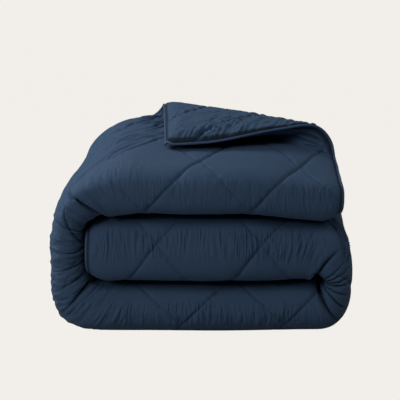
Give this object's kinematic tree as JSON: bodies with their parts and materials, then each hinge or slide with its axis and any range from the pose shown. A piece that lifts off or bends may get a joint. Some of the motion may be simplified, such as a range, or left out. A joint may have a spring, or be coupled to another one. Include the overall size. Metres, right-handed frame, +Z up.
{
  "type": "folded quilted duvet",
  "caption": "Piped quilted duvet, folded lengthways and then like a letter, lying as a soft stack with one corner of its top ply turned over.",
  "frame": {"origin": "on the resting surface, under the middle of the folded stack", "axes": "+X along the stack from its big left fold to the free end of its top layer, +Y from its rounded front to its back edges, +Z up"},
  "size_m": [0.6804, 0.56, 0.4412],
  "materials": {
    "cloth": "matte brushed microfibre over a soft filling",
    "cord": "matte, the same cloth wrapped round a cord"
  },
  "bodies": {
    "root": {"duvet": "cloth", "piping": "cord"}
  },
  "joints": []
}
